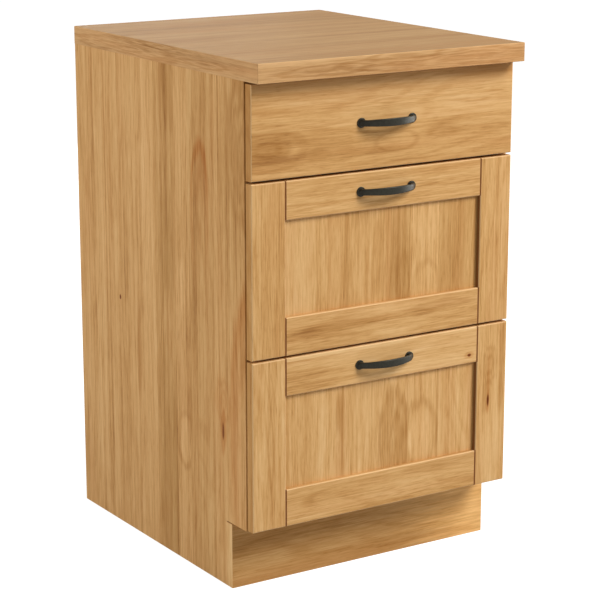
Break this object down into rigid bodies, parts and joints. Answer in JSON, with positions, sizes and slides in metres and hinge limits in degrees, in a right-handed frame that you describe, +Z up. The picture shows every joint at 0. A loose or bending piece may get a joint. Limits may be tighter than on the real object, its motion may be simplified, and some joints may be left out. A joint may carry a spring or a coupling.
{
  "type": "base cabinet with drawers",
  "caption": "Freestanding kitchen base cabinet in oak decor: a laminate worktop over a plain slab drawer and framed drawers with bow handles, on roller runners above a recessed toe kick.",
  "frame": {"origin": "on the floor, under the middle of the worktop", "axes": "+X to the right of someone facing the drawers, +Y from the fronts to the back of the cabinet, +Z up; the drawers pull out along -Y"},
  "size_m": [0.5, 0.6, 0.85],
  "materials": {
    "worktop_laminate": "satin oak laminate",
    "side_laminate": "satin oak laminate, upright grain",
    "slab_front_oak": "satin oak decor, level grain",
    "stile_oak": "satin oak decor, upright grain",
    "rail_oak": "satin oak decor, level grain",
    "panel_oak": "satin oak decor, upright grain",
    "plinth_oak": "satin oak decor, level grain",
    "carcass_board": "matte white melamine",
    "box_board": "matte white melamine",
    "hardboard": "painted smooth hardboard",
    "handle_metal": "antique bronze, satin",
    "runner_paint": "white epoxy on steel",
    "roller_nylon": "natural nylon",
    "zinc_steel": "zinc plated",
    "beech": "bare beech"
  },
  "bodies": {
    "carcass": {"worktop": "worktop_laminate", "side_panel_left": "side_laminate", "side_panel_right": "side_laminate", "bottom_panel": "carcass_board", "front_rail": "carcass_board", "rear_rail": "carcass_board", "back_panel": "hardboard", "plinth_board": "plinth_oak", "plinth_brackets": "zinc_steel", "plinth_screws": "zinc_steel", "cam_fittings": "zinc_steel", "cam_bolts": "zinc_steel", "worktop_screws": "zinc_steel", "runner_screws": "zinc_steel", "wood_dowels": "beech", "top_cabinet_runners": "runner_paint", "middle_cabinet_runners": "runner_paint", "bottom_cabinet_runners": "runner_paint"},
    "top_drawer": {"top_front": "slab_front_oak", "top_box_side_left": "box_board", "top_box_side_right": "box_board", "top_box_front": "box_board", "top_box_back": "box_board", "top_box_bottom": "hardboard", "top_drawer_runners": "runner_paint", "top_handle": "handle_metal", "top_drawer_screws": "zinc_steel"},
    "top_front_rollers": {"top_front_rollers": "roller_nylon"},
    "top_rear_rollers": {"top_rear_rollers": "roller_nylon"},
    "middle_drawer": {"middle_stile_left": "stile_oak", "middle_stile_right": "stile_oak", "middle_rail_upper": "rail_oak", "middle_rail_lower": "rail_oak", "middle_front_panel": "panel_oak", "middle_box_side_left": "box_board", "middle_box_side_right": "box_board", "middle_box_front": "box_board", "middle_box_back": "box_board", "middle_box_bottom": "hardboard", "middle_drawer_runners": "runner_paint", "middle_handle": "handle_metal", "middle_drawer_screws": "zinc_steel"},
    "middle_front_rollers": {"middle_front_rollers": "roller_nylon"},
    "middle_rear_rollers": {"middle_rear_rollers": "roller_nylon"},
    "bottom_drawer": {"bottom_stile_left": "stile_oak", "bottom_stile_right": "stile_oak", "bottom_rail_upper": "rail_oak", "bottom_rail_lower": "rail_oak", "bottom_front_panel": "panel_oak", "bottom_box_side_left": "box_board", "bottom_box_side_right": "box_board", "bottom_box_front": "box_board", "bottom_box_back": "box_board", "bottom_box_bottom": "hardboard", "bottom_drawer_runners": "runner_paint", "bottom_handle": "handle_metal", "bottom_drawer_screws": "zinc_steel"},
    "bottom_front_rollers": {"bottom_front_rollers": "roller_nylon"},
    "bottom_rear_rollers": {"bottom_rear_rollers": "roller_nylon"}
  },
  "joints": [
    {"name": "top_drawer_slide", "type": "slide", "parent": "carcass", "child": "top_drawer", "axis": [0, -1, 0], "range_m": [0, 0.375]},
    {"name": "top_front_roller_spin", "type": "hinge", "parent": "carcass", "child": "top_front_rollers", "pos_m": [0, -0.244, 0.704], "axis": [1, 0, 0], "range_deg": [0, 2149]},
    {"name": "top_rear_roller_spin", "type": "hinge", "parent": "top_drawer", "child": "top_rear_rollers", "pos_m": [0, 0.221, 0.7005], "axis": [1, 0, 0], "range_deg": [0, 2149]},
    {"name": "middle_drawer_slide", "type": "slide", "parent": "carcass", "child": "middle_drawer", "axis": [0, -1, 0], "range_m": [0, 0.375]},
    {"name": "middle_front_roller_spin", "type": "hinge", "parent": "carcass", "child": "middle_front_rollers", "pos_m": [0, -0.244, 0.425], "axis": [1, 0, 0], "range_deg": [0, 2149]},
    {"name": "middle_rear_roller_spin", "type": "hinge", "parent": "middle_drawer", "child": "middle_rear_rollers", "pos_m": [0, 0.221, 0.4215], "axis": [1, 0, 0], "range_deg": [0, 2149]},
    {"name": "bottom_drawer_slide", "type": "slide", "parent": "carcass", "child": "bottom_drawer", "axis": [0, -1, 0], "range_m": [0, 0.375]},
    {"name": "bottom_front_roller_spin", "type": "hinge", "parent": "carcass", "child": "bottom_front_rollers", "pos_m": [0, -0.244, 0.146], "axis": [1, 0, 0], "range_deg": [0, 2149]},
    {"name": "bottom_rear_roller_spin", "type": "hinge", "parent": "bottom_drawer", "child": "bottom_rear_rollers", "pos_m": [0, 0.221, 0.1425], "axis": [1, 0, 0], "range_deg": [0, 2149]}
  ],
  "couplings": [
    {"joint": "top_front_roller_spin", "follows": "top_drawer_slide", "rad_per_m": 100},
    {"joint": "top_rear_roller_spin", "follows": "top_drawer_slide", "rad_per_m": 100},
    {"joint": "middle_front_roller_spin", "follows": "middle_drawer_slide", "rad_per_m": 100},
    {"joint": "middle_rear_roller_spin", "follows": "middle_drawer_slide", "rad_per_m": 100},
    {"joint": "bottom_front_roller_spin", "follows": "bottom_drawer_slide", "rad_per_m": 100},
    {"joint": "bottom_rear_roller_spin", "follows": "bottom_drawer_slide", "rad_per_m": 100}
  ]
}
